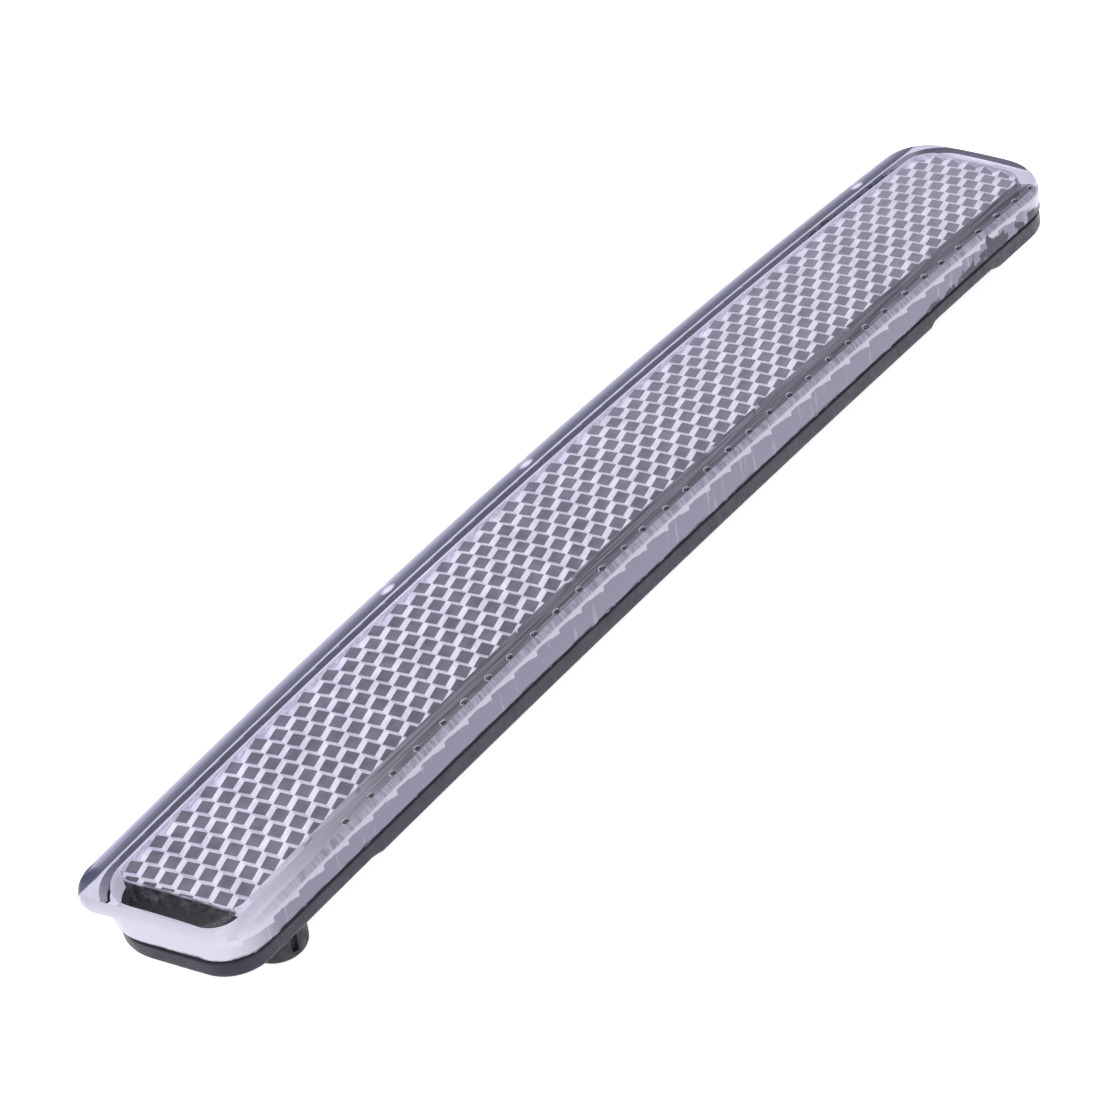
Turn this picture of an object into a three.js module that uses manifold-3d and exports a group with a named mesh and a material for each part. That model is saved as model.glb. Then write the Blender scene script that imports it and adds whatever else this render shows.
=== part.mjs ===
// Reflector strip for the side of a vehicle bumper.
//
// A clear acrylic cover and a block of corner-cube prisms sit on a black back housing, which two push-on
// studs locate in the bumper. Millimetres: X runs across the strip, Y along it and +Z out of the cover.
// The origin is on the flat pad at the middle of the housing's back.

import * as THREE from 'three';
import { mergeVertices } from 'three/addons/utils/BufferGeometryUtils.js';
import Module from 'manifold-3d';

const wasm = await Module();
wasm.setup();

// ---------------------------------------------------------------- driving dimensions

const LENGTH = 156.6; // along the middle
const END = LENGTH / 2;

const FRONT_APEX = 7.9; // cover's outer face, at the middle of the strip
const FRONT_BOW_RADIUS = 1125; // the front is bowed along the strip ...
const FRONT_CROWN_RADIUS = 105; // ... and slightly crowned across it
const JOINT_APEX = 2.75; // where the cover meets the housing
const BACK_APEX = 0.4; // housing's back face, which is bowed less than the front
const BACK_BOW_RADIUS = 2555;

const NEAR_SLANT = 0.07; // the two ends aren't square: the plain side is the shorter one
const FAR_SLANT = 0.04;
const SIDE_X = 11; // plain side wall of cover and housing
const LIP_X = -10.8; // free edge of the cover's lip on the other side
const COVER_SKIN = 1.15; // thickness of the cover's face and of its lip
const FIT_GAP = 0.3; // play between a piece and the one that it rests on

const PRISM_PITCH = 2.3; // across the flats of one hexagonal prism
const PRISM_WEB = 0.45; // solid sheet above the prisms

const HOUSING_FLOOR = 1.2;
const HOUSING_RIM = 1.8;
const PAD = { left: -4, right: 7, halfLength: 12 };

const STUD_LENGTH = 5.3;
const STUD_BASE_RADIUS = 4.3;
const STUD_TIP_RADIUS = 3.2;
const STUD_FLARE = 0.9; // length over which the base's flare comes in
const STUD_ROUND = 1; // rounding of the tip
const STUD_BORE_RADIUS = 1.8;
const STUD_BORE_DEPTH = 3.6;
const STUD_SLOT = { count: 4, turn: 0.85, depth: 0.6, width: 0.8, length: 2.6 };
const PIN_RADIUS = 1.5;
const PIN_LENGTH = 3;

// Each notch in the underside gives one stud its place.
const NEAR_NOTCH = { from: -END - 2, to: -55.6, depth: 0.4 };
const FAR_NOTCH = { from: 48.3, to: 63, depth: 0.5 };
const NOTCH_RAMP = 0.9;
const STUDS = [
  { name: 'locating_stud_near', x: 5.5, y: -67, notch: NEAR_NOTCH },
  { name: 'locating_stud_far', x: 1.7, y: 55.6, notch: FAR_NOTCH },
];

// Plan outlines. The near and far edges are placed on the strip's middle line, and a corner radius is given
// for near left, near right, far right and far left.
const LIP_PLAN = { left: LIP_X, right: SIDE_X, near: -END, far: END, radii: [4.6, 4.6, 7, 4.8] };
const BODY_TOP_PLAN = { left: -8.6, right: SIDE_X, near: -END, far: END, radii: [5.8, 4.6, 7, 4.6] };
const BODY_FOOT_PLAN = { ...BODY_TOP_PLAN, left: -8.4, radii: [7, 4.6, 7, 5] };
const CAVITY_TOP_PLAN = { left: -7.65, right: 8.3, near: 1.4 - END, far: END - 1.8, radii: [4.6, 3, 4.6, 3] };
const CAVITY_FOOT_PLAN = { ...CAVITY_TOP_PLAN, radii: [5.8, 3, 4.6, 3.4] };
const INSERT_PLAN = { left: -7.45, right: 7.6, near: 4.5 - END, far: END - 2.2, radii: [2.3, 1.6, 2.8, 2.6] };
const HOUSING_PLAN = { left: -7.9, right: SIDE_X, near: -END, far: END - 0.4, radii: [7.2, 4.6, 7, 5.4] };
const TRAY_PLAN = {
  left: HOUSING_PLAN.left + HOUSING_RIM / 2,
  right: HOUSING_PLAN.right - HOUSING_RIM,
  near: HOUSING_PLAN.near + HOUSING_RIM,
  far: HOUSING_PLAN.far - HOUSING_RIM,
  radii: [6, 2.8, 5.2, 4],
};

const ARC_STEPS = 6; // segments in each rounded corner
const ROUND_STEPS = 28; // segments round each stud and pin
const SIDE_STEPS = 18; // segments along each long side, so that it follows the bow
const CROWN_STEPS = 6; // grid columns across the crowned face
const FAR_OUT = 30; // past every surface, for solids that are cut back

// ---------------------------------------------------------------- the bowed surfaces

const frontZ = (x, y) => FRONT_APEX - y ** 2 / (2 * FRONT_BOW_RADIUS) - x ** 2 / (2 * FRONT_CROWN_RADIUS);
const jointZ = (y) => JOINT_APEX - y ** 2 / (2 * BACK_BOW_RADIUS);
const backZ = (y) => BACK_APEX - y ** 2 / (2 * BACK_BOW_RADIUS);

// ---------------------------------------------------------------- solids

// A closed three.js geometry as a solid that can be joined and cut.
function solidFrom(geometry) {
  const bare = geometry.clone();
  bare.deleteAttribute('normal');
  bare.deleteAttribute('uv');
  const merged = mergeVertices(bare, 1e-4);
  return new wasm.Manifold(new wasm.Mesh({
    numProp: 3,
    vertProperties: new Float32Array(merged.attributes.position.array),
    triVerts: new Uint32Array(merged.index.array),
  }));
}

function geometryFrom(solid) {
  const mesh = solid.getMesh();
  const geometry = new THREE.BufferGeometry();
  geometry.setAttribute('position', new THREE.BufferAttribute(mesh.vertProperties, 3));
  geometry.setIndex(new THREE.BufferAttribute(mesh.triVerts, 1));
  geometry.computeVertexNormals();
  return geometry;
}

function indexedGeometry(points, triangles) {
  const geometry = new THREE.BufferGeometry().setFromPoints(points);
  geometry.setIndex(triangles);
  return geometry;
}

// Steps from a to b, both included.
const steps = (a, b, count) => Array.from({ length: count + 1 }, (_, i) => a + ((b - a) * i) / count);

// The arc of a rounded corner, as points from one straight edge to the next.
function cornerPoints(before, corner, after, radius) {
  const along = corner.clone().sub(before).normalize();
  const turn = Math.acos(along.dot(after.clone().sub(corner).normalize()));
  const inward = new THREE.Vector2(-along.y, along.x);
  const arcStart = corner.clone().addScaledVector(along, -radius * Math.tan(turn / 2));
  const centre = arcStart.addScaledVector(inward, radius);
  const start = Math.atan2(-inward.y, -inward.x);
  return steps(start, start + turn, ARC_STEPS).map((angle) => (
    new THREE.Vector2(Math.cos(angle), Math.sin(angle)).multiplyScalar(radius).add(centre)
  ));
}

// A plan outline, counter-clockwise from the near left corner, with points along its long sides.
function planPoints({ left, right, near, far, radii }) {
  const corners = [
    new THREE.Vector2(left, near + NEAR_SLANT * left),
    new THREE.Vector2(right, near + NEAR_SLANT * right),
    new THREE.Vector2(right, far - FAR_SLANT * right),
    new THREE.Vector2(left, far - FAR_SLANT * left),
  ];
  const arcs = corners.map((corner, i) => (
    cornerPoints(corners[(i + 3) % 4], corner, corners[(i + 1) % 4], radii[i])
  ));
  const between = (a, b) => steps(a.y, b.y, SIDE_STEPS).slice(1, -1).map((y) => new THREE.Vector2(a.x, y));
  const rightSide = between(arcs[1].at(-1), arcs[2][0]);
  const leftSide = between(arcs[3].at(-1), arcs[0][0]);
  return [...arcs[0], ...arcs[1], ...rightSide, ...arcs[2], ...arcs[3], ...leftSide];
}

// One ring of a loft: a plan outline at the height that heightAt gives.
const ring = (plan, heightAt) => planPoints(plan).map(({ x, y }) => new THREE.Vector3(x, y, heightAt(x, y)));

// The solid between rings that all have the same number of points, from the lowest up.
function loft(...rings) {
  const count = rings[0].length;
  const triangles = [];
  for (let level = 0; level < rings.length - 1; level++) {
    for (let i = 0; i < count; i++) {
      const a = level * count + i;
      const b = level * count + ((i + 1) % count);
      triangles.push(a, b, b + count, a, b + count, a + count);
    }
  }
  const capOf = (points) => (
    THREE.ShapeUtils.triangulateShape(points.map(({ x, y }) => new THREE.Vector2(x, y)), [])
  );
  const top = (rings.length - 1) * count;
  for (const [a, b, c] of capOf(rings.at(-1))) triangles.push(top + a, top + b, top + c);
  for (const [a, b, c] of capOf(rings[0])) triangles.push(a, c, b);
  return solidFrom(indexedGeometry(rings.flat(), triangles));
}

const column = (plan) => loft(ring(plan, () => -FAR_OUT), ring(plan, () => FAR_OUT));

// The solid over a grid of xs and ys, between the surfaces lowAt(x, y) and highAt(x, y).
function gridBlock(xs, ys, lowAt, highAt) {
  const level = (heightAt) => ys.flatMap((y) => xs.map((x) => new THREE.Vector3(x, y, heightAt(x, y))));
  const points = [...level(lowAt), ...level(highAt)];
  const up = xs.length * ys.length;
  const at = (i, j) => j * xs.length + i;
  const triangles = [];
  for (let j = 0; j < ys.length - 1; j++) {
    for (let i = 0; i < xs.length - 1; i++) {
      const [a, b, c, d] = [at(i, j), at(i + 1, j), at(i + 1, j + 1), at(i, j + 1)];
      triangles.push(a, c, b, a, d, c, up + a, up + b, up + c, up + a, up + c, up + d);
    }
  }
  const wall = (a, b) => triangles.push(a, b, up + b, a, up + b, up + a);
  for (let i = 0; i < xs.length - 1; i++) {
    wall(at(i, 0), at(i + 1, 0));
    wall(at(i + 1, ys.length - 1), at(i, ys.length - 1));
  }
  for (let j = 0; j < ys.length - 1; j++) {
    wall(at(xs.length - 1, j), at(xs.length - 1, j + 1));
    wall(at(0, j + 1), at(0, j));
  }
  return solidFrom(indexedGeometry(points, triangles));
}

const crownXs = steps(-SIDE_X - 1, SIDE_X + 1, CROWN_STEPS);
const bowYs = steps(-END - 2, END + 2, SIDE_STEPS);

// Everything between two bowed surfaces, wide enough to cut any plan out of.
const bowedSlab = (lowAt, highAt) => gridBlock(crownXs, bowYs, lowAt, highAt);

function cylinder(radius, x, y, bottom, top) {
  const geometry = new THREE.CylinderGeometry(radius, radius, top - bottom, ROUND_STEPS);
  geometry.rotateX(Math.PI / 2);
  geometry.translate(x, y, (bottom + top) / 2);
  return solidFrom(geometry);
}

// ---------------------------------------------------------------- cover

// Clear cover: a bowed face whose lip overhangs one long side, on a skirt that goes down to the joint.
function makeCover() {
  const underSkin = (x, y) => frontZ(x, y) - COVER_SKIN;
  const face = column(LIP_PLAN).intersect(bowedSlab(underSkin, frontZ));
  const midSkin = (x, y) => frontZ(x, y) - COVER_SKIN / 2;
  const skirt = loft(
    ring(BODY_FOOT_PLAN, () => -FAR_OUT),
    ring(BODY_FOOT_PLAN, (x, y) => jointZ(y)),
    ring(BODY_TOP_PLAN, underSkin),
    ring(BODY_TOP_PLAN, () => FAR_OUT),
  ).intersect(bowedSlab((x, y) => jointZ(y), midSkin));
  const cavity = loft(
    ring(CAVITY_FOOT_PLAN, () => -FAR_OUT),
    ring(CAVITY_FOOT_PLAN, (x, y) => jointZ(y)),
    ring(CAVITY_TOP_PLAN, underSkin),
    ring(CAVITY_TOP_PLAN, () => FAR_OUT),
  ).intersect(bowedSlab(() => -FAR_OUT, underSkin));
  return face.add(skirt).subtract(cavity);
}

// ---------------------------------------------------------------- reflex insert

// Height of the prism surface above the prisms' tips. Each hexagonal prism is the corner of a cube that
// stands on its tip: going round the hexagon, its vertices are by turns two levels and one above the tip.
const CUBE_LEVEL = PRISM_PITCH / Math.sqrt(6);
const HEX_RADIUS = PRISM_PITCH / Math.sqrt(3);
const ROW_PITCH = (PRISM_PITCH * Math.sqrt(3)) / 2;
const TIP_SHIFT = new THREE.Vector2(0.25 * PRISM_PITCH, -0.1 * PRISM_PITCH);

// The underside of the insert: rows of prisms, every other row shifted by half a pitch. Each prism adds its
// own tip and two of its hexagon's vertices, and the surface is closed upwards to a flat-topped solid.
function makePrismField() {
  const rows = Math.ceil(END / ROW_PITCH) + 1;
  const columns = Math.ceil(SIDE_X / PRISM_PITCH) + 1;
  const tipDepth = COVER_SKIN + FIT_GAP + PRISM_WEB + 2 * CUBE_LEVEL;
  const surfacePoint = (x, y, level) => new THREE.Vector3(x, y, frontZ(x, y) - tipDepth + level * CUBE_LEVEL);
  const vertexAt = (tip, degrees, level) => {
    const angle = THREE.MathUtils.degToRad(degrees);
    return surfacePoint(tip.x + HEX_RADIUS * Math.cos(angle), tip.y + HEX_RADIUS * Math.sin(angle), level);
  };

  let field = null;
  for (let row = -rows; row <= rows; row++) {
    const strip = [];
    for (let column = -columns; column <= columns; column++) {
      const x = (column + (row % 2 ? 0.5 : 0)) * PRISM_PITCH + TIP_SHIFT.x;
      strip.push(new THREE.Vector2(x, row * ROW_PITCH + TIP_SHIFT.y));
    }
    const solid = prismRow(strip, surfacePoint, vertexAt);
    field = field ? field.add(solid) : solid;
  }
  return field;
}

// One row of prisms as a closed solid: each is a hexagonal column with a cube corner for its underside.
function prismRow(tips, surfacePoint, vertexAt) {
  const columns = tips.map((tip) => {
    const hexagon = [30, 90, 150, 210, 270, 330].map((degrees, i) => vertexAt(tip, degrees, i % 2 ? 1 : 2));
    const top = [...hexagon, tip].map(({ x, y }) => new THREE.Vector3(x, y, FAR_OUT));
    const points = [surfacePoint(tip.x, tip.y, 0), ...hexagon, ...top];
    const triangles = [];
    for (let i = 0; i < 6; i++) {
      const [a, b] = [1 + i, 1 + ((i + 1) % 6)];
      triangles.push(0, b, a, 13, a + 6, b + 6, a, b, b + 6, a, b + 6, a + 6);
    }
    return solidFrom(indexedGeometry(points, triangles));
  });
  return wasm.Manifold.union(columns);
}

function makeInsert() {
  const underCover = (x, y) => frontZ(x, y) - COVER_SKIN - FIT_GAP;
  const block = column(INSERT_PLAN).intersect(bowedSlab(() => -FAR_OUT, underCover));
  return block.intersect(makePrismField());
}

// ---------------------------------------------------------------- back housing

// The space under one notch: it rises from the back face to its depth along a short ramp at each end.
function notchBlock({ from, to, depth }) {
  const ys = [from, from + NOTCH_RAMP, ...steps(from + NOTCH_RAMP, to - NOTCH_RAMP, 6).slice(1), to];
  const rise = (y) => depth * Math.min(1, (y - from) / NOTCH_RAMP, (to - y) / NOTCH_RAMP);
  return gridBlock(steps(-SIDE_X - 1, SIDE_X + 1, 1), ys, () => -FAR_OUT, (x, y) => backZ(y) + rise(y));
}

function makeHousing() {
  const rimTop = (x, y) => jointZ(y) - FIT_GAP;
  const floorTop = (x, y) => backZ(y) + HOUSING_FLOOR;
  let housing = column(HOUSING_PLAN).intersect(bowedSlab((x, y) => backZ(y), rimTop));
  housing = housing.subtract(column(TRAY_PLAN).intersect(bowedSlab(floorTop, () => FAR_OUT)));
  for (const notch of [NEAR_NOTCH, FAR_NOTCH]) housing = housing.subtract(notchBlock(notch));
  for (const { x, y, notch } of STUDS) {
    const seat = backZ(y) + notch.depth;
    housing = housing.add(cylinder(PIN_RADIUS, x, y, seat - PIN_LENGTH, seat + HOUSING_FLOOR / 2));
  }
  const padYs = [-PAD.halfLength, PAD.halfLength];
  return housing.add(gridBlock([PAD.left, PAD.right], padYs, () => 0, () => HOUSING_FLOOR));
}

// ---------------------------------------------------------------- studs

// A push-on stud: a flared rubber cap with a blind bore for the housing's pin and grip slots round its side.
function makeStud({ x, y, notch }) {
  const top = backZ(y) + notch.depth - FIT_GAP;
  const tip = top - STUD_LENGTH + FIT_GAP;
  const shoulder = tip + STUD_ROUND;
  const flare = new THREE.QuadraticBezierCurve(
    new THREE.Vector2(STUD_TIP_RADIUS, shoulder),
    new THREE.Vector2(STUD_TIP_RADIUS, top - STUD_FLARE),
    new THREE.Vector2(STUD_BASE_RADIUS, top),
  ).getPoints(5);
  const round = new THREE.QuadraticBezierCurve(
    new THREE.Vector2(STUD_TIP_RADIUS - STUD_ROUND, tip),
    new THREE.Vector2(STUD_TIP_RADIUS, tip),
    new THREE.Vector2(STUD_TIP_RADIUS, shoulder),
  ).getPoints(4);
  const boreTop = top - STUD_BORE_DEPTH;
  const profile = [
    new THREE.Vector2(0, tip),
    ...round.slice(0, -1),
    ...flare,
    new THREE.Vector2(STUD_BORE_RADIUS, top),
    new THREE.Vector2(STUD_BORE_RADIUS, boreTop),
    new THREE.Vector2(0, boreTop),
  ];
  const geometry = new THREE.LatheGeometry(profile, ROUND_STEPS);
  geometry.rotateX(Math.PI / 2);
  geometry.translate(x, y, 0);
  let stud = solidFrom(geometry);
  for (let i = 0; i < STUD_SLOT.count; i++) {
    const slot = new THREE.BoxGeometry(2 * STUD_SLOT.depth, STUD_SLOT.width, STUD_SLOT.length);
    slot.translate(STUD_TIP_RADIUS, 0, (tip + top) / 2);
    slot.rotateZ(((i + STUD_SLOT.turn) * 2 * Math.PI) / STUD_SLOT.count);
    slot.translate(x, y, 0);
    stud = stud.subtract(solidFrom(slot));
  }
  return stud;
}

// ---------------------------------------------------------------- assembly

const clearAcrylic = () => new THREE.MeshStandardMaterial({
  color: 0xdcdce6, roughness: 0.06, metalness: 0, transparent: true, opacity: 0.35,
});
const prismAcrylic = () => new THREE.MeshStandardMaterial({ color: 0xb4b4c0, roughness: 0.15, metalness: 0 });
const blackPlastic = () => new THREE.MeshStandardMaterial({ color: 0x2b2a2e, roughness: 0.45, metalness: 0 });
const blackRubber = () => new THREE.MeshStandardMaterial({ color: 0x1e1e22, roughness: 0.75, metalness: 0 });

function piece(name, solid, material) {
  const mesh = new THREE.Mesh(geometryFrom(solid), material);
  mesh.name = name;
  return mesh;
}

const group = new THREE.Group();
group.add(
  piece('lens_cover', makeCover(), clearAcrylic()),
  piece('reflex_insert', makeInsert(), prismAcrylic()),
  piece('back_housing', makeHousing(), blackPlastic()),
  ...STUDS.map((stud) => piece(stud.name, makeStud(stud), blackRubber())),
);

export default group;
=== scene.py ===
"""Looks of a clear prismatic reflector strip on a black back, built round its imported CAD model.

Lengths below are millimetres, as in the CAD, and turn into metres when a mesh is made.
"""

import math
import random

import bmesh
import bpy
from mathutils import Matrix, Quaternion, Vector


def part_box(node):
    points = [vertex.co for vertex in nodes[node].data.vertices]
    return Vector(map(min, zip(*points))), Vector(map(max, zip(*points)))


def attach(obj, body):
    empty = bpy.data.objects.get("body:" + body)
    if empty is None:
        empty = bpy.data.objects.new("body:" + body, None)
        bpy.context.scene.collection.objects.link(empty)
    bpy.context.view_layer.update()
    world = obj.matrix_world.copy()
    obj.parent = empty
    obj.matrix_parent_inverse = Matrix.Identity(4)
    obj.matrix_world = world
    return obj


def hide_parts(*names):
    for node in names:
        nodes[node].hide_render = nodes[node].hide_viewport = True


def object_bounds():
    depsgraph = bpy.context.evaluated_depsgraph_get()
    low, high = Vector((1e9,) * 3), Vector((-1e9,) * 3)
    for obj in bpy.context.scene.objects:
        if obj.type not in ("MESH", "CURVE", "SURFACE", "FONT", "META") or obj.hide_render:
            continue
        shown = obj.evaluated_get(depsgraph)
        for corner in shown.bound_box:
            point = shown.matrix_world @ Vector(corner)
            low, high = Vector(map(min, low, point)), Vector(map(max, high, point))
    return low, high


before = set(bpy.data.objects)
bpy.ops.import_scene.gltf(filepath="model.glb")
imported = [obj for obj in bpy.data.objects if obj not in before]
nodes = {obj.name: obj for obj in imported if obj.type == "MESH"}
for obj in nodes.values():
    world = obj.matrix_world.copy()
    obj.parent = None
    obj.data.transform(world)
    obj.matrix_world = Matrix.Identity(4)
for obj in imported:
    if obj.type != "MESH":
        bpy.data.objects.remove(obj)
cad_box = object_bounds()
scene = bpy.context.scene
MM = 0.001

# ---------------------------------------------------------------- dimensions shared with the CAD

END = 78.3
NEAR_SLANT = 0.07
FAR_SLANT = 0.04
SIDE_X = 11
FRONT_APEX = 7.9
FRONT_BOW_RADIUS = 1125
FRONT_CROWN_RADIUS = 105
BACK_BOW_RADIUS = 2555
JOINT_APEX = 2.75
BACK_APEX = 0.4
COVER_SKIN = 1.15
FIT_GAP = 0.3
PRISM_PITCH = 2.3
HOUSING_FLOOR = 1.2


def front_z(x, y):
    return FRONT_APEX - y ** 2 / (2 * FRONT_BOW_RADIUS) - x ** 2 / (2 * FRONT_CROWN_RADIUS)


def under_skin(x, y):
    return front_z(x, y) - COVER_SKIN


def joint_z(x, y):
    return JOINT_APEX - y ** 2 / (2 * BACK_BOW_RADIUS)


def back_z(x, y):
    return BACK_APEX - y ** 2 / (2 * BACK_BOW_RADIUS)


def notched_back_z(x, y):
    rise = 0
    for notch in (NEAR_NOTCH, FAR_NOTCH):
        inside = min(1, (y - notch["from"]) / NOTCH_RAMP, (notch["to"] - y) / NOTCH_RAMP)
        rise = max(rise, notch["depth"] * inside)
    return back_z(x, y) + rise


def plan(left, right, near, far, *radii):
    """A plan outline; its radii are for near left, near right, far right and far left."""
    return {"left": left, "right": right, "near": near, "far": far, "radii": radii}


LIP = plan(-10.8, SIDE_X, -END, END, 4.6, 4.6, 7, 4.8)
BODY_TOP = plan(-8.6, SIDE_X, -END, END, 5.8, 4.6, 7, 4.6)
BODY_FOOT = plan(-8.4, SIDE_X, -END, END, 7, 4.6, 7, 5)
CAVITY_TOP = plan(-7.65, 8.3, 1.4 - END, END - 1.8, 4.6, 3, 4.6, 3)
CAVITY_FOOT = plan(-7.65, 8.3, 1.4 - END, END - 1.8, 5.8, 3, 4.6, 3.4)
HOUSING = plan(-7.9, SIDE_X, -END, END - 0.4, 7.2, 4.6, 7, 5.4)

NEAR_NOTCH = {"from": -END - 2, "to": -55.6, "depth": 0.4}
FAR_NOTCH = {"from": 48.3, "to": 63, "depth": 0.5}
NOTCH_RAMP = 0.9
PAD = {"left": -4, "right": 7, "half_length": 12}

STUDS = ("locating_stud_near", "locating_stud_far")
STUD_TIP_RADIUS = 3.2
STUD_SLOT = {"count": 4, "turn": 0.85, "size": (1.2, 0.8, 2.6)}
PIN_RADIUS = 1.5
PIN_LENGTH = 3

# ---------------------------------------------------------------- dimensions of the finer shapes

EDGE_ROUND = 0.8
LIP_LOW_EDGE = 0.15  # bevel along the lower edge of the lip
FOOT_ROUND = 0.25
HOUSING_ROUND = 0.5
RIM_BEVEL = 0.15
RIM_STEP = 0.65  # width of the rim's lower, inner part, which clears the prisms
WELD_GAP = 0.08  # left between the lens and the outer part of the housing's rim
PAD_ROUND = 0.15
PIN_ROUND = 0.3
STUD_ROUND = 1.1
STUD_BASE_BEVEL = {"width": 0.12, "height": 0.2}
STUD_BORE = {"radius": 1.8, "depth": 3.6}
SLOT_ROUND = 0.15
PRISM_LIT_BAND = 0.05  # painted bright band, a painted highlight, along the edges of each large facet
TOOTH_PITCH = PRISM_PITCH * math.sqrt(3)  # the prisms repeat at this distance along the strip

BUBBLE_RADIUS = (0.36, 0.44)
BUBBLE_STRETCH = 1.4  # length along the strip, over width
BUBBLE_INSET = (1.05, 1.2)  # from the plain side
BUBBLE_DEPTH = 0.5
BUBBLE_SHIFT = 0.3  # how far a bubble strays along the strip from its tooth
TOOTH_PHASE = 0.35  # place of each bubble within its tooth
BUBBLE_SMOOTH_ANGLE = 60
FIRST_BUBBLE = 3  # the row starts this many teeth later than it could at the near end
SHADE_CORE_SHARE = 0.8  # of the bubble's size, for the painted shade in its middle

LIP_OVERHANG = BODY_TOP["left"] - LIP["left"]
LIP_MARKS = (-26, -1, 66)  # places along the strip of the pale spots
LIP_MARK_SIZE = (0.5, 1.2)
LIP_REFLECTION = -75  # place along the strip of the painted dark reflection at the lip's near end
LIP_REFLECTION_SIZE = (1.1, 1.6)

ARC_STEPS = 12
SIDE_STEPS = 160
ACROSS_STEPS = 12
ROUND_STEPS = 5
FLARE_STEPS = 8
ROUND_SEGMENTS = 48  # segments round each stud and pin
MERGE_DISTANCE = 1e-7  # metres
TOP_TOLERANCE = 0.1  # the prism block's top faces lie within this of their bowed surface
FACE_TOLERANCE = 0.03  # the lens's flat faces lie within this of its bowed face
CORNER_LENGTH = 3  # at each end, this much of the sides is painted as the ends are
WALL_BAND = 1  # the inner space's side walls lie within this of its outline
FLAT_ANGLE = math.radians(3)  # faces that meet at less than this belong to one facet
SMOOTH_ANGLE = 30
LENS_SMOOTH_ANGLE = 20
STUD_SMOOTH_ANGLE = 35

# ---------------------------------------------------------------- camera and light

CAMERA_PLACE = Vector((0.24493, -0.28185, 0.24441))  # metres, as is the target
CAMERA_TARGET = Vector((0.00061, -0.01079, 0.004))
CAMERA_ROLL = math.radians(-11.1)
CAMERA_LENS = 133.53
KEY_DIRECTION = Vector((0.35, -0.35, 0.87))
SKY_COLOUR = (0.95, 0.95, 1, 1)
SKY_DIM = 0.12  # strength away from the key direction
SKY_BRIGHT = 1.9
SKY_SPREAD = (0.1, 0.85)  # cosines, to the key direction, where the sky is dim and bright
FLOOR_HALF = 3  # metres

# ---------------------------------------------------------------- outlines and lofts


def corner_arc(before, corner, after, radius):
    """The rounded corner between two straight edges, as points from the first to the second."""
    along = (corner - before).normalized()
    turn = along.angle(after - corner)
    inward = Vector((-along.y, along.x))
    centre = corner - along * radius * math.tan(turn / 2) + inward * radius
    start = math.atan2(-inward.y, -inward.x)
    angles = [start + turn * i / ARC_STEPS for i in range(ARC_STEPS + 1)]
    return [centre + radius * Vector((math.cos(a), math.sin(a))) for a in angles]


def between(a, b, count):
    """The points that divide a to b into count parts, without a and b themselves."""
    return [a.lerp(b, i / count) for i in range(1, count)]


def chains(shape, inset=0):
    """An outline's left and right sides with their corners, both from the near edge to the far one."""
    left, right = shape["left"] + inset, shape["right"] - inset
    near, far = shape["near"] + inset, shape["far"] - inset
    corners = [
        Vector((left, near + NEAR_SLANT * left)),
        Vector((right, near + NEAR_SLANT * right)),
        Vector((right, far - FAR_SLANT * right)),
        Vector((left, far - FAR_SLANT * left)),
    ]
    arcs = [
        corner_arc(corners[i - 1], corners[i], corners[(i + 1) % 4], shape["radii"][i] - inset)
        for i in range(4)
    ]
    right_chain = arcs[1] + between(arcs[1][-1], arcs[2][0], SIDE_STEPS) + arcs[2]
    left_chain = arcs[3] + between(arcs[3][-1], arcs[0][0], SIDE_STEPS) + arcs[0]
    return left_chain[::-1], right_chain


def loop_points(left_chain, right_chain):
    """The whole outline, counter-clockwise from the near left corner."""
    near_edge = between(left_chain[0], right_chain[0], ACROSS_STEPS)
    far_edge = between(right_chain[-1], left_chain[-1], ACROSS_STEPS)
    return [left_chain[0]] + near_edge + right_chain + far_edge + left_chain[:0:-1]


class Loft:
    """A closed skin made of rings: outlines at the height that a function of x and y gives."""

    def __init__(self):
        self.bm = bmesh.new()
        self.ring = None
        self.material = 0

    def vertex(self, x, y, z):
        return self.bm.verts.new(Vector((x, y, z)) * MM)

    def face(self, *corners):
        self.bm.faces.new(corners).material_index = self.material

    def to(self, shape, height, inset=0, lift=0):
        """Adds the next ring and the band of faces that leads to it."""
        points = loop_points(*chains(shape, inset))
        ring = [self.vertex(x, y, height(x, y) + lift) for x, y in points]
        if self.ring:
            for i, b in enumerate(ring):
                a = ring[i - 1]
                self.face(self.ring[i - 1], a, b, self.ring[i])
        self.ring = ring

    def cap(self, shape, height, inset=0, facing_up=True):
        """Closes the last ring, or starts the first one, with rows of faces from side to side."""
        left_chain, right_chain = chains(shape, inset)
        if self.ring is None:
            self.to(shape, height, inset)
        ring, rows = self.ring, len(left_chain)
        right_start = ACROSS_STEPS
        far_start = right_start + rows - 1
        grid = [ring[: ACROSS_STEPS + 1]]
        for i in range(1, rows - 1):
            inner = between(left_chain[i], right_chain[i], ACROSS_STEPS)
            inner = [self.vertex(x, y, height(x, y)) for x, y in inner]
            grid.append([ring[-i]] + inner + [ring[right_start + i]])
        grid.append(ring[far_start: far_start + ACROSS_STEPS + 1][::-1])
        for low, high in zip(grid, grid[1:]):
            for j in range(ACROSS_STEPS):
                quad = (low[j], low[j + 1], high[j + 1], high[j])
                self.face(*(quad if facing_up else quad[::-1]))

    def mesh(self, name, materials):
        bmesh.ops.remove_doubles(self.bm, verts=self.bm.verts, dist=MERGE_DISTANCE)
        bmesh.ops.recalc_face_normals(self.bm, faces=self.bm.faces)
        return finished(self.bm, name, materials)


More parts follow.
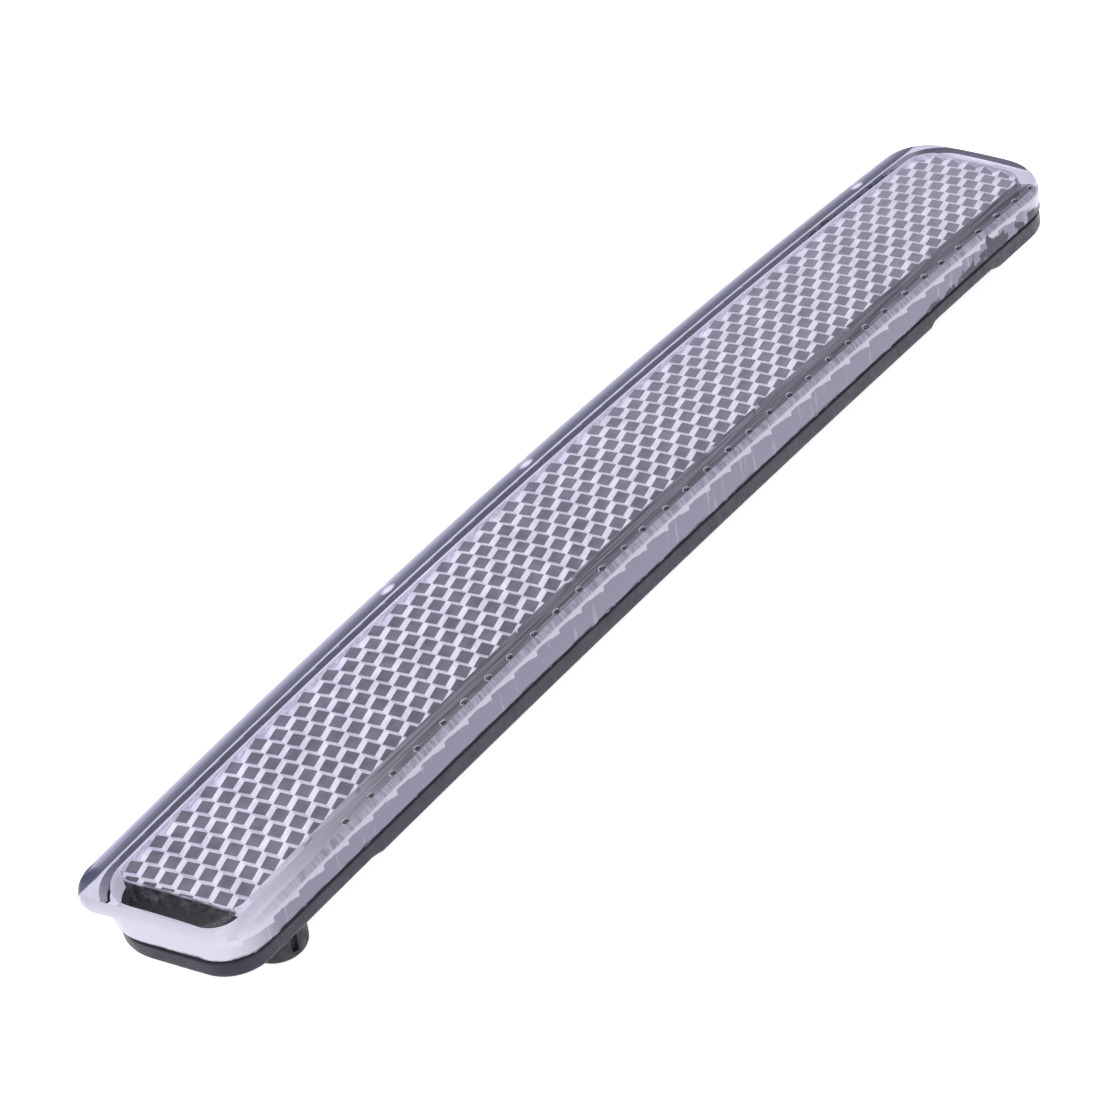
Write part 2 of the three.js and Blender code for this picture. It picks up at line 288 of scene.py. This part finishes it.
def finished(bm, name, materials, sharp_angle=SMOOTH_ANGLE):
    """An object made from bm, smooth except at edges sharper than the angle."""
    data = bpy.data.meshes.new(name)
    bm.to_mesh(data)
    bm.free()
    data.shade_smooth()
    data.set_sharp_from_angle(angle=math.radians(sharp_angle))
    obj = bpy.data.objects.new(name, data)
    scene.collection.objects.link(obj)
    for material in materials:
        data.materials.append(material)
    return obj


def round_out(loft, shape, height, radius, downwards):
    """Rings round an edge, out from a face to the wall below it, or to the wall above it."""
    for i in range(1, ROUND_STEPS + 1):
        angle = math.pi / 2 * i / ROUND_STEPS
        drop = radius * (1 - math.cos(angle))
        loft.to(shape, height, radius * (1 - math.sin(angle)), -drop if downwards else drop)


def round_in(loft, shape, height, radius):
    """Rings round an edge, in from a wall to the face below it."""
    for i in range(1, ROUND_STEPS + 1):
        angle = math.pi / 2 * i / ROUND_STEPS
        loft.to(shape, height, radius * (1 - math.cos(angle)), radius * (1 - math.sin(angle)))


# ---------------------------------------------------------------- materials


class Nodes:
    """A material's node tree, with short words for the nodes that the materials use."""

    def __init__(self, name):
        self.material = bpy.data.materials.new(name)
        self.material.use_nodes = True
        self.tree = self.material.node_tree
        self.shader = self.tree.nodes["Principled BSDF"]
        self.place = self.tree.nodes.new("ShaderNodeTexCoord").outputs["Object"]

    def new(self, kind, **settings):
        node = self.tree.nodes.new("ShaderNode" + kind)
        for name, value in settings.items():
            setattr(node, name, value)
        return node

    def link(self, source, target):
        self.tree.links.new(source, target)

    def set(self, **values):
        for name, value in values.items():
            self.shader.inputs[name.replace("_", " ")].default_value = value

    def noise(self, scale, detail=3, stretch=(1, 1, 1), turn=(0, 0, 0)):
        mapping = self.new("Mapping")
        mapping.inputs["Scale"].default_value = stretch
        mapping.inputs["Rotation"].default_value = turn
        texture = self.new("TexNoise")
        texture.inputs["Scale"].default_value = scale
        texture.inputs["Detail"].default_value = detail
        self.link(self.place, mapping.inputs["Vector"])
        self.link(mapping.outputs["Vector"], texture.inputs["Vector"])
        return texture.outputs["Fac"]

    def ramp(self, source, *stops):
        """Colours or greys by position: each stop is (position, colour)."""
        ramp = self.new("ValToRGB")
        elements = ramp.color_ramp.elements
        elements.remove(elements[1])
        elements[0].position = stops[0][0]
        for position, _ in stops[1:]:
            elements.new(position)
        for element, (_, colour) in zip(elements, stops):
            element.color = (*colour, 1) if isinstance(colour, tuple) else (colour, colour, colour, 1)
        self.link(source, ramp.inputs["Fac"])
        return ramp.outputs["Color"]

    def colour(self, source, *stops):
        colour = self.ramp(source, *stops)
        self.link(colour, self.shader.inputs["Base Color"])
        return colour

    def paint(self, colour):
        """Sets the surface's colour, and its glow, which stands for the light inside the acrylic."""
        self.link(colour, self.shader.inputs["Base Color"])
        self.link(colour, self.shader.inputs["Emission Color"])

    def roughness(self, source, *stops):
        self.link(self.ramp(source, *stops), self.shader.inputs["Roughness"])

    def math(self, operation, *values):
        node = self.new("Math", operation=operation)
        for socket, value in zip(node.inputs, values):
            if isinstance(value, (int, float)):
                socket.default_value = value
            else:
                self.link(value, socket)
        return node.outputs["Value"]

    def scaled(self, source, factor):
        return self.math("MULTIPLY", source, factor)

    def squared(self, source):
        return self.math("POWER", self.math("ABSOLUTE", source), 2)

    def axis(self, letter):
        split = self.new("SeparateXYZ")
        self.link(self.place, split.inputs["Vector"])
        return split.outputs[letter]

    def depth(self):
        """Depth below the cover's bowed and crowned outer face, in centimetres."""
        bow = self.scaled(self.squared(self.axis("Y")), 0.5 / (FRONT_BOW_RADIUS * MM))
        crown = self.scaled(self.squared(self.axis("X")), 0.5 / (FRONT_CROWN_RADIUS * MM))
        height = self.math("ADD", self.math("ADD", self.axis("Z"), bow), crown)
        return self.math("MULTIPLY_ADD", height, -100, FRONT_APEX / 10)

    def height(self):
        """Height above the joint between lens and housing, in centimetres."""
        bow = self.scaled(self.squared(self.axis("Y")), 0.5 / (BACK_BOW_RADIUS * MM))
        return self.math("MULTIPLY_ADD", self.math("ADD", self.axis("Z"), bow), 100, -JOINT_APEX / 10)

    def along(self):
        """Position along the strip, from 0 at its near end to 1 at its far end."""
        return self.math("MULTIPLY_ADD", self.axis("Y"), 0.5 / (END * MM), 0.5)

    def spot(self, x, y, half_width, half_length):
        """1 in the middle of an oval mark, fading to 0 at its edge."""
        across = self.math("MULTIPLY_ADD", self.axis("X"), 1 / (half_width * MM), -x / half_width)
        along = self.math("MULTIPLY_ADD", self.axis("Y"), 1 / (half_length * MM), -y / half_length)
        distance = self.math("ADD", self.squared(across), self.squared(along))
        return self.ramp(distance, (0.2, 1.0), (1.0, 0.0))

    def mix(self, factor, a, b):
        """The colour a, turned into b where the factor is 1; b is a node's output or three numbers."""
        node = self.new("Mix", data_type="RGBA")
        self.link(factor, node.inputs["Factor"])
        self.link(a, node.inputs[6])
        if isinstance(b, tuple):
            node.inputs[7].default_value = (*b, 1)
        else:
            self.link(b, node.inputs[7])
        return node.outputs[2]

    def bump(self, source, strength, distance):
        bump = self.new("Bump")
        bump.inputs["Strength"].default_value = strength
        bump.inputs["Distance"].default_value = distance
        self.link(source, bump.inputs["Height"])
        self.link(bump.outputs["Normal"], self.shader.inputs["Normal"])


def clear_acrylic():
    """Polished acrylic, slightly blue, with dull streaks along the strip."""
    n = Nodes("clear_acrylic")
    n.set(IOR=1.49, Transmission_Weight=1)
    n.colour(n.noise(300), (0.3, (0.95, 0.95, 0.99)), (0.7, (0.99, 0.99, 1.0)))
    n.roughness(n.noise(900, stretch=(1, 0.1, 1)), (0.55, 0.01), (0.75, 0.05))
    return n.material


def prism_facet(name, dark, light, glow):
    """One side of the prisms, in painted light and shade as the clear prisms show them: slightly
    uneven, and painted paler towards the far end.
    """
    n = Nodes(name)
    n.set(Roughness=0.35, Specular_IOR_Level=0.1, Emission_Strength=glow)
    colour = n.ramp(n.noise(450, 4), (0.35, dark), (0.65, light))
    n.paint(n.mix(n.ramp(n.along(), (0.3, 0.0), (1.0, 0.3)), colour, (0.64, 0.63, 0.72)))
    return n.material


def block_wall(name, dark, light, glow):
    """A side of the prism block, painted with the light and shade seen through the clear acrylic:
    mottled, with a painted highlight line where it meets the cover's skin.
    """
    n = Nodes(name)
    n.set(Roughness=0.5, Specular_IOR_Level=0.05, Emission_Strength=glow)
    mottled = n.ramp(n.noise(1100, 5), (0.42, dark), (0.72, light))
    # Painted highlight along the wall's top 0.35 mm, just below the cover's skin.
    below_skin = n.math("SUBTRACT", n.depth(), COVER_SKIN / 10)
    edge = n.ramp(n.math("MULTIPLY_ADD", n.noise(500), 0.02, below_skin), (0.035, 1.0), (0.045, 0.0))
    colour = n.mix(edge, mottled, (0.7, 0.69, 0.79))
    n.paint(colour)
    return n.material


def body_wall():
    """The body's outer wall and shoulder, painted with the light that the clear acrylic shows: pale at
    both ends and grey between them.

    The prisms throw a saw-tooth of light along the wall's top, and the weld has left black at its foot,
    which grows into blots near the far end.
    """
    n = Nodes("body_wall")
    n.set(Roughness=0.25, Specular_IOR_Level=0.15, Emission_Strength=0.1)
    grey, pale, inner = (0.15, 0.144, 0.195), (0.42, 0.41, 0.47), (0.17, 0.165, 0.21)
    along = n.along()
    # Painted light: pale at the near end and at the far corner, where the clear wall shows a highlight,
    # grey between them, and painted darker on the far end wall.
    ends = [(0.94, grey), (0.965, pale), (0.985, pale), (0.99, inner)]
    colour = n.ramp(along, (0.005, pale), (0.045, grey), *ends)
    streaks = n.noise(1300, 4, stretch=(1, 1, 0.1), turn=(0.25, 0, 0))
    colour = n.mix(n.ramp(streaks, (0.62, 0.0), (0.75, 0.4)), colour, pale)

    # The prisms' saw-tooth of light along the wall's top, painted on.
    saw = n.math("FRACT", n.scaled(n.axis("Y"), 1 / (TOOTH_PITCH * MM)))
    ragged = n.scaled(n.noise(900, 5), 0.045)
    tooth = n.math("MULTIPLY_ADD", n.math("POWER", saw, 2), 0.06, ragged)
    below_teeth = n.math("SUBTRACT", n.depth(), n.math("ADD", tooth, EDGE_ROUND / 10))
    teeth = n.ramp(along, (0.01, pale), (0.06, (0.34, 0.335, 0.385)))
    colour = n.mix(n.ramp(below_teeth, (0.0, 1.0), (0.01, 0.0)), colour, teeth)

    # The shoulder: painted striped grey, with painted pale light at the near end.
    stripes = n.noise(2400, 5, stretch=(0.2, 1, 0.2))
    striped = n.ramp(stripes, (0.35, (0.15, 0.147, 0.19)), (0.65, (0.26, 0.255, 0.31)))
    shoulder = n.mix(n.ramp(along, (0.01, 1.0), (0.08, 0.0)), striped, pale)
    colour = n.mix(n.ramp(n.depth(), (0.06, 1.0), (0.075, 0.0)), colour, shoulder)

    reach = n.ramp(along, (0.8, 0.1), (0.87, 0.85), (0.95, 0.7), (0.985, 0.0))
    melt = n.math("MULTIPLY", reach, n.math("MULTIPLY_ADD", n.noise(420, 6), 1.1, -0.4))
    above_melt = n.math("SUBTRACT", n.height(), melt)
    colour = n.mix(n.ramp(above_melt, (0.0, 1.0), (0.03, 0.0)), colour, (0.025, 0.025, 0.04))
    n.paint(colour)
    return n.material


def groove_wall():
    """The brushed grey wall of the groove beside the prisms, with painted light that makes it paler low
    down and at the near end.
    """
    n = Nodes("groove_wall")
    n.set(Roughness=0.5, Specular_IOR_Level=0.05, Emission_Strength=0.3)
    brushed = n.noise(2600, 3, stretch=(1, 0.03, 1))
    colour = n.ramp(brushed, (0.38, (0.16, 0.157, 0.19)), (0.62, (0.42, 0.41, 0.48)))
    colour = n.mix(n.ramp(n.depth(), (0.34, 0.0), (0.4, 1.0)), colour, (0.5, 0.49, 0.57))
    colour = n.mix(n.ramp(n.along(), (0.05, 0.9), (0.2, 0.0)), colour, (0.85, 0.84, 0.92))
    n.paint(colour)
    return n.material


def matt_wall(name, dark, light, glow):
    """A wall of the inner space, painted with soft, cloudy light as the clear acrylic shows it."""
    n = Nodes(name)
    n.set(Roughness=0.6, Specular_IOR_Level=0.05, Emission_Strength=glow)
    n.paint(n.ramp(n.noise(160, 4, stretch=(1, 0.4, 1)), (0.3, dark), (0.6, light)))
    return n.material


def lip_underside():
    """Grey under the lip, in painted bands of light and shade as the clear lip shows them, with pale
    spots and a painted dark reflection at the near end.
    """
    n = Nodes("lip_underside")
    n.set(Roughness=0.5, Specular_IOR_Level=0.05, Emission_Strength=0.5)
    edge = BODY_TOP["left"] / LIP_OVERHANG
    from_body = n.math("MULTIPLY_ADD", n.axis("X"), -1 / (LIP_OVERHANG * MM), edge)
    uneven = n.math("MULTIPLY_ADD", n.noise(90, 4, stretch=(1, 0.2, 1)), 0.08, from_body)
    colour = n.ramp(uneven, (0.1, (0.6, 0.6, 0.7)), (0.2, (0.1, 0.1, 0.14)), (0.5, (0.17, 0.17, 0.22)),
                    (0.75, (0.38, 0.37, 0.46)), (0.9, (0.58, 0.57, 0.66)))
    middle = (LIP["left"] + BODY_TOP["left"]) / 2
    # A painted dark reflection at the lip's near end.
    colour = n.mix(n.spot(middle, LIP_REFLECTION, *LIP_REFLECTION_SIZE), colour, (0.08, 0.08, 0.14))
    for y in LIP_MARKS:
        colour = n.mix(n.spot(middle, y, *LIP_MARK_SIZE), colour, (0.75, 0.74, 0.83))
    n.paint(colour)
    return n.material


def black_plastic():
    n = Nodes("black_plastic")
    n.set(Specular_IOR_Level=0.2)
    n.colour(n.noise(350, 5), (0.3, (0.012, 0.011, 0.019)), (0.7, (0.026, 0.023, 0.036)))
    n.roughness(n.noise(1200, 2), (0.3, 0.3), (0.7, 0.5))
    n.bump(n.noise(2500, 2), 0.25, 0.00005)
    return n.material


def black_rubber():
    n = Nodes("black_rubber")
    n.set(Specular_IOR_Level=0.3)
    n.colour(n.noise(700, 5), (0.3, (0.008, 0.008, 0.01)), (0.7, (0.03, 0.03, 0.036)))
    n.roughness(n.noise(900, 3), (0.3, 0.45), (0.7, 0.75))
    n.bump(n.noise(900, 5), 0.6, 0.0002)
    return n.material


def weld_line():
    """The black plastic that the weld leaves in the joint, with flecks of clean acrylic."""
    n = Nodes("weld_line")
    n.set(Specular_IOR_Level=0.1, Roughness=0.8)
    n.colour(n.noise(900, 5), (0.58, (0.008, 0.008, 0.01)), (0.7, (0.3, 0.29, 0.34)))
    return n.material


# Save for the clear acrylic and the weld line, the lens materials are painted light and shade as the
# clear acrylic shows them, and their glow stands for light inside it.
LENS_MATERIALS = [
    clear_acrylic(),
    prism_facet("prism_painted_shade", (0.15, 0.15, 0.18), (0.21, 0.21, 0.25), 0.25),
    prism_facet("prism_painted_light", (0.7, 0.69, 0.78), (0.92, 0.91, 0.97), 0.4),
    prism_facet("prism_painted_soft_light", (0.54, 0.53, 0.65), (0.74, 0.73, 0.84), 0.36),
    block_wall("block_wall_painted_shade", (0.008, 0.008, 0.012), (0.2, 0.2, 0.24), 0.05),
    block_wall("block_wall_painted_light", (0.5, 0.49, 0.6), (0.8, 0.79, 0.87), 0.25),
    body_wall(),
    groove_wall(),
    matt_wall("inner_wall", (0.6, 0.59, 0.7), (0.8, 0.79, 0.88), 0.45),
    weld_line(),
    lip_underside(),
]
CLEAR, DARK_FACET, BRIGHT_FACET, PALE_FACET, DARK_BLOCK, BRIGHT_BLOCK = range(6)
BODY_WALL, GROOVE_WALL, INNER_WALL, WELD_LINE, LIP_UNDERSIDE = range(6, 11)
BLACK_PLASTIC = black_plastic()
BLACK_RUBBER = black_rubber()

# ---------------------------------------------------------------- lens


def prism_block():
    """The CAD's prism insert, raised into the cover's skin so that the two become one moulding."""
    bm = bmesh.new()
    bm.from_mesh(nodes["reflex_insert"].data)
    bmesh.ops.remove_doubles(bm, verts=bm.verts, dist=MERGE_DISTANCE)
    for vertex in bm.verts:
        x, y, z = vertex.co / MM
        if z > under_skin(x, y) - FIT_GAP - TOP_TOLERANCE:
            vertex.co.z += 2 * FIT_GAP * MM
    bm.normal_update()
    for face in bm.faces:
        face.material_index = block_painted_light(face.normal)
    inner = [edge for edge in bm.edges if all(is_facet(face.normal) for face in edge.link_faces)]
    bmesh.ops.dissolve_limit(bm, angle_limit=FLAT_ANGLE, verts=[], edges=inner)
    # Dark facets get a painted bright band along their edges, a painted highlight, except the ones that
    # the block's outline cuts small.
    dark = [face for face in bm.faces if face.material_index == DARK_FACET]
    whole = max(face.calc_area() for face in dark)
    dark = [face for face in dark if face.calc_area() > whole / 2]
    lit_bands = bmesh.ops.inset_individual(bm, faces=dark, thickness=PRISM_LIT_BAND * MM, use_even_offset=True)
    for face in lit_bands["faces"]:
        face.material_index = PALE_FACET
    bmesh.ops.triangulate(bm, faces=bm.faces)
    return finished(bm, "prism_block", LENS_MATERIALS)


def is_facet(normal):
    return normal.z < -0.3


def block_painted_light(normal):
    """The painted light and shade of a facet depend on the side of the prism that it is on, and a
    wall's on its side.

    A prism's three facets face 120 degrees apart.
    """
    if is_facet(normal):
        azimuth = math.degrees(math.atan2(normal.y, normal.x)) % 360
        if 90 < azimuth < 210:
            return DARK_FACET
        return PALE_FACET if 210 < azimuth < 330 else BRIGHT_FACET
    if normal.x > 0.7:
        return GROOVE_WALL
    return DARK_BLOCK if normal.y < -0.5 else BRIGHT_BLOCK


def lens_shell():
    loft = Loft()
    loft.cap(LIP, front_z, EDGE_ROUND)
    round_out(loft, LIP, front_z, EDGE_ROUND, True)
    loft.to(LIP, under_skin, 0, LIP_LOW_EDGE)
    loft.to({**LIP, "left": LIP["left"] + LIP_LOW_EDGE}, under_skin)
    loft.material = LIP_UNDERSIDE
    loft.to(BODY_TOP, under_skin)
    loft.material = BODY_WALL
    loft.to(BODY_FOOT, joint_z, 0, FOOT_ROUND)
    loft.material = WELD_LINE
    round_in(loft, BODY_FOOT, joint_z, FOOT_ROUND)
    loft.material = INNER_WALL
    loft.to(CAVITY_FOOT, joint_z)
    loft.to(CAVITY_TOP, under_skin)
    for face in loft.bm.faces:
        face.material_index = shell_material(face.material_index, face.calc_center_median() / MM)
    loft.material = CLEAR
    loft.cap(CAVITY_TOP, under_skin, 0, False)
    return loft.mesh("clear_lens", LENS_MATERIALS)


def shell_material(material_slot, place):
    """Changes the material of a face of the shell where its four sides differ; all but the weld line's
    are painted light and shade.
    """
    x, y, z = place
    on_side = abs(y) < END - CORNER_LENGTH
    if material_slot == CLEAR and x < LIP["left"] + EDGE_ROUND and on_side:
        return LIP_UNDERSIDE
    if material_slot == CLEAR and z < front_z(x, y) - FACE_TOLERANCE:
        if x > SIDE_X - EDGE_ROUND or y < EDGE_ROUND - END + NEAR_SLANT * x:
            return BODY_WALL
        return CLEAR if z > front_z(x, y) - EDGE_ROUND else BODY_WALL
    if material_slot == INNER_WALL and x > CAVITY_TOP["right"] - WALL_BAND and on_side:
        return GROOVE_WALL
    if material_slot == WELD_LINE and y > END - CORNER_LENGTH:
        return INNER_WALL
    return material_slot


def join(obj, other, operation="UNION"):
    """Adds the other object to obj's mesh, or cuts it out of it, and drops the other."""
    modifier = obj.modifiers.new("join", "BOOLEAN")
    modifier.operation = operation
    modifier.solver = "MANIFOLD"
    modifier.object = other
    graph = bpy.context.evaluated_depsgraph_get()
    obj.data = bpy.data.meshes.new_from_object(obj.evaluated_get(graph))
    obj.modifiers.clear()
    bpy.data.objects.remove(other)


def make_lens():
    lens = lens_shell()
    join(lens, bubbles("bubbles", 1, LENS_MATERIALS[CLEAR]), "DIFFERENCE")
    join(lens, prism_block())
    lens.data.shade_smooth()
    lens.data.set_sharp_from_angle(angle=math.radians(LENS_SMOOTH_ANGLE))
    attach(lens, "root")
    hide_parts("lens_cover", "reflex_insert")


def bubbles(name, scale, material):
    """A row of small bubbles under the plain side's top edge, one for each tooth."""
    rng = random.Random(3)
    bm = bmesh.new()
    count = int(END / TOOTH_PITCH) - 1
    for i in range(FIRST_BUBBLE - count, count + 1):
        y = (i + TOOTH_PHASE) * TOOTH_PITCH + rng.uniform(-BUBBLE_SHIFT, BUBBLE_SHIFT)
        x = SIDE_X - rng.uniform(*BUBBLE_INSET)
        radius = rng.uniform(*BUBBLE_RADIUS)
        place = Vector((x, y, front_z(x, y) - BUBBLE_DEPTH))
        made = bmesh.ops.create_icosphere(bm, subdivisions=2, radius=radius * scale)
        for vertex in made["verts"]:
            vertex.co.y *= BUBBLE_STRETCH
            vertex.co = (vertex.co + place) * MM
    return finished(bm, name, [material], BUBBLE_SMOOTH_ANGLE)


def make_bubble_shade_core():
    """The dark middle of each bubble, a painted shade, smaller than the hollow that the bubble makes in
    the lens.
    """
    shade_core = bubbles("bubble_shade_core", SHADE_CORE_SHARE, LENS_MATERIALS[WELD_LINE])
    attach(shade_core, "root")


# ---------------------------------------------------------------- housing


def make_housing():
    loft = Loft()
    loft.cap(HOUSING, notched_back_z, HOUSING_ROUND, False)
    round_out(loft, HOUSING, notched_back_z, HOUSING_ROUND, False)
    loft.to(HOUSING, joint_z, 0, -WELD_GAP - RIM_BEVEL)
    loft.to(HOUSING, joint_z, RIM_BEVEL, -WELD_GAP)
    loft.to(CAVITY_FOOT, joint_z, 0, -WELD_GAP)
    loft.to(CAVITY_FOOT, joint_z, 0, -FIT_GAP)
    loft.to(CAVITY_FOOT, joint_z, RIM_STEP, -FIT_GAP)
    loft.to(CAVITY_FOOT, back_z, RIM_STEP, HOUSING_FLOOR)
    loft.cap(CAVITY_FOOT, lambda x, y: back_z(x, y) + HOUSING_FLOOR, RIM_STEP)
    housing = loft.mesh("black_housing", [BLACK_PLASTIC])
    join(housing, seating_pad())
    join(housing, pins())
    housing.data.set_sharp_from_angle(angle=math.radians(SMOOTH_ANGLE))
    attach(housing, "root")
    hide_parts("back_housing")


def soften(bm, edges, radius, steps):
    """Rounds edges off, and gives back the faces that this makes."""
    made = bmesh.ops.bevel(
        bm, geom=edges, offset=radius * MM, segments=steps, affect="EDGES", profile=0.5)
    return made["faces"]


def seating_pad():
    """The flat pad, with rounded edges, half sunk in the middle of the back."""
    size = Vector((PAD["right"] - PAD["left"], 2 * PAD["half_length"], HOUSING_FLOOR))
    middle = Vector(((PAD["left"] + PAD["right"]) / 2, 0, HOUSING_FLOOR / 2))
    bm = bmesh.new()
    bmesh.ops.create_cube(bm, size=MM)
    for vertex in bm.verts:
        vertex.co = vertex.co * size + middle * MM
    soften(bm, bm.edges[:], PAD_ROUND, 3)
    return finished(bm, "pad", [BLACK_PLASTIC])


def pins():
    """The pins that the studs are pushed on to, with rounded tips, rooted in the housing's floor."""
    bm = bmesh.new()
    for node in STUDS:
        low, high = (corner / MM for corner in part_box(node))
        tip = high.z + FIT_GAP - PIN_LENGTH
        depth = PIN_LENGTH + HOUSING_FLOOR / 2
        middle = Vector(((low.x + high.x) / 2, (low.y + high.y) / 2, tip + depth / 2))
        radius = PIN_RADIUS * MM
        made = bmesh.ops.create_cone(
            bm, cap_ends=True, segments=ROUND_SEGMENTS, radius1=radius, radius2=radius,
            depth=depth * MM, matrix=Matrix.Translation(middle * MM))
        ring = [vertex for vertex in made["verts"] if vertex.co.z < middle.z * MM]
        edges = [edge for edge in bm.edges if all(vertex in ring for vertex in edge.verts)]
        soften(bm, edges, PIN_ROUND, 3)
    return finished(bm, "pins", [BLACK_PLASTIC])


# ---------------------------------------------------------------- studs


def make_stud(node):
    """A push-on rubber cap: a flared base, a rounded tip and grip slots round its side."""
    low, high = (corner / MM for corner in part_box(node))
    middle = (low + high) / 2
    bm = bmesh.new()
    profile = stud_profile(low.z, high.z, (high.x - low.x) / 2)
    points = [bm.verts.new(Vector((r, 0, z)) * MM) for r, z in profile]
    edges = [bm.edges.new(pair) for pair in zip(points, points[1:])]
    bmesh.ops.spin(bm, geom=points + edges, axis=(0, 0, 1), cent=(0, 0, 0), angle=math.tau,
                   steps=ROUND_SEGMENTS, use_duplicate=False)
    bmesh.ops.remove_doubles(bm, verts=bm.verts, dist=MERGE_DISTANCE)
    bmesh.ops.recalc_face_normals(bm, faces=bm.faces)
    bmesh.ops.translate(bm, verts=bm.verts, vec=Vector((middle.x, middle.y, 0)) * MM)
    stud = finished(bm, node + "_cap", [BLACK_RUBBER], STUD_SMOOTH_ANGLE)
    join(stud, slot_cutters(middle), "DIFFERENCE")
    stud.data.set_sharp_from_angle(angle=math.radians(STUD_SMOOTH_ANGLE))
    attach(stud, "root")
    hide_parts(node)


def stud_profile(bottom, top, base):
    """Radii and heights from the middle of the tip, up the side and down the bore."""
    tip, flat = STUD_TIP_RADIUS, STUD_TIP_RADIUS - STUD_ROUND
    profile = [(0, bottom), (flat, bottom)]
    for i in range(1, ROUND_STEPS + 1):
        angle = math.pi / 2 * i / ROUND_STEPS
        rise = STUD_ROUND * (1 - math.cos(angle))
        profile.append((flat + STUD_ROUND * math.sin(angle), bottom + rise))
    shoulder = bottom + STUD_ROUND
    side = top - STUD_BASE_BEVEL["height"] - shoulder
    for i in range(1, FLARE_STEPS + 1):
        step = i / FLARE_STEPS
        profile.append((tip + (base - tip) * step ** 3, shoulder + side * step))
    bore, floor = STUD_BORE["radius"], top - STUD_BORE["depth"]
    return profile + [(base - STUD_BASE_BEVEL["width"], top), (bore, top), (bore, floor), (0, floor)]


def slot_cutters(middle):
    """The blocks that cut the grip slots into a stud's side."""
    bm = bmesh.new()
    for i in range(STUD_SLOT["count"]):
        made = bmesh.ops.create_cube(bm, size=MM)
        bmesh.ops.scale(bm, vec=STUD_SLOT["size"], verts=made["verts"])
        edges = {edge for vertex in made["verts"] for edge in vertex.link_edges}
        rounded = soften(bm, list(edges), SLOT_ROUND, 2)
        verts = {vertex for face in rounded for vertex in face.verts}
        turn = Quaternion((0, 0, 1), (i + STUD_SLOT["turn"]) * math.tau / STUD_SLOT["count"])
        for vertex in verts:
            vertex.co = turn @ (vertex.co + Vector((STUD_TIP_RADIUS, 0, 0)) * MM) + middle * MM
    return finished(bm, "slots", [BLACK_RUBBER])


# ---------------------------------------------------------------- camera, light and floor


def make_camera():
    data = bpy.data.cameras.new("camera")
    data.lens = CAMERA_LENS
    data.sensor_width = 36
    data.clip_start = 0.01
    camera = bpy.data.objects.new("camera", data)
    scene.collection.objects.link(camera)
    camera.location = CAMERA_PLACE
    camera.rotation_mode = "QUATERNION"
    aim = (CAMERA_TARGET - CAMERA_PLACE).to_track_quat("-Z", "Y")
    camera.rotation_quaternion = aim @ Quaternion((0, 0, 1), CAMERA_ROLL)
    scene.camera = camera


def make_world():
    """A soft sky, bright towards the key direction and dim away from it."""
    world = bpy.data.worlds.new("studio")
    scene.world = world
    world.use_nodes = True
    tree = world.node_tree
    place = tree.nodes.new("ShaderNodeTexCoord")
    dot = tree.nodes.new("ShaderNodeVectorMath")
    dot.operation = "DOT_PRODUCT"
    dot.inputs[1].default_value = KEY_DIRECTION.normalized()
    spread = tree.nodes.new("ShaderNodeMapRange")
    spread.interpolation_type = "SMOOTHSTEP"
    spread.inputs["From Min"].default_value, spread.inputs["From Max"].default_value = SKY_SPREAD
    spread.inputs["To Min"].default_value = SKY_DIM
    spread.inputs["To Max"].default_value = SKY_BRIGHT
    tree.links.new(place.outputs["Generated"], dot.inputs[0])
    tree.links.new(dot.outputs["Value"], spread.inputs["Value"])
    background = tree.nodes["Background"]
    background.inputs["Color"].default_value = SKY_COLOUR
    tree.links.new(spread.outputs["Result"], background.inputs["Strength"])


def make_floor():
    low = cad_box[0].z
    bm = bmesh.new()
    bmesh.ops.create_grid(bm, x_segments=8, y_segments=8, size=FLOOR_HALF)
    n = Nodes("pale_floor")
    n.set(Roughness=0.8, Emission_Color=(1, 1, 1, 1), Emission_Strength=0.75)
    n.colour(n.noise(3, 2), (0.3, 0.9), (0.7, 0.93))
    floor = finished(bm, "floor", [n.material])
    floor.location.z = low


def set_light_bounces():
    scene.cycles.max_bounces = 12
    scene.cycles.glossy_bounces = 8
    scene.cycles.transmission_bounces = 12
    scene.view_settings.view_transform = "Standard"


make_lens()
make_bubble_shade_core()
make_housing()
for stud_node in STUDS:
    make_stud(stud_node)
make_camera()
make_world()
make_floor()
set_light_bounces()
